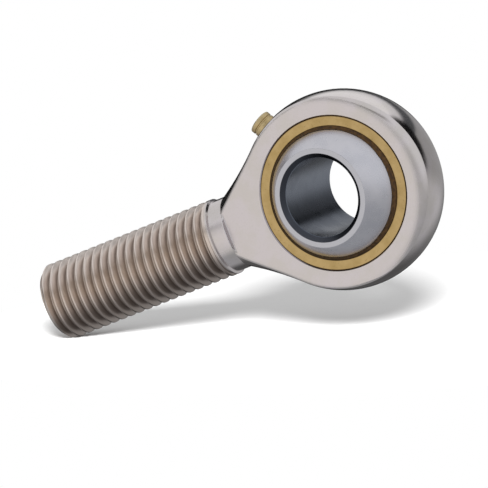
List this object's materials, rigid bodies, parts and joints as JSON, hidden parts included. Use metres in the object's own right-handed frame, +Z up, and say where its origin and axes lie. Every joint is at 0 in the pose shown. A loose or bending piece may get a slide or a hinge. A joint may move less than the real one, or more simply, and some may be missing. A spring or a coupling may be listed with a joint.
{
  "type": "rod end bearing",
  "caption": "Male rod end: threaded shank with a ball-shaped eye, a brass-lined swivelling bored ball and a grease nipple.",
  "frame": {"origin": "the centre of the ball, on the bore axis", "axes": "+Y square to the milled flats of the eye, the threaded shank points along -X, +Z up, square to both; the loose ball lies swivelled 7 degrees about Z"},
  "size_m": [0.0875, 0.0232, 0.0403],
  "materials": {
    "forged_steel": "satin zinc plate on forged and milled steel",
    "race_brass": "turned brass, dull",
    "ball_steel": "ground and lightly polished bearing steel",
    "grease": "translucent lithium grease",
    "nipple_brass": "turned brass, dull",
    "check_steel": "ground bearing steel",
    "spring_steel": "drawn spring wire"
  },
  "bodies": {
    "housing": {"rod_body": "forged_steel", "brass_race": "race_brass", "nipple_body": "nipple_brass", "nipple_spring": "spring_steel"},
    "outer_film": {"grease_film_outer": "grease"},
    "inner_film": {"grease_film_inner": "grease"},
    "ball": {"ball": "ball_steel"},
    "check_valve": {"nipple_check_ball": "check_steel"}
  },
  "joints": [
    {"name": "tilt_about_shank", "type": "hinge", "parent": "housing", "child": "outer_film", "pos_m": [0, 0, 0], "axis": [1, 0, 0], "range_deg": [-15, 15]},
    {"name": "tilt_across_shank", "type": "hinge", "parent": "outer_film", "child": "inner_film", "pos_m": [0, 0, 0], "axis": [0, 0, 1], "range_deg": [-8, 22]},
    {"name": "ball_spin", "type": "hinge", "parent": "inner_film", "child": "ball", "pos_m": [0, 0, 0], "axis": [0.1219, 0.9925, 0], "continuous": true},
    {"name": "check_ball_lift", "type": "slide", "parent": "housing", "child": "check_valve", "axis": [0.5225, 0, -0.8526], "range_m": [0, 0.0004], "stiffness_N_per_m": 400, "deforming": ["nipple_spring"]}
  ]
}
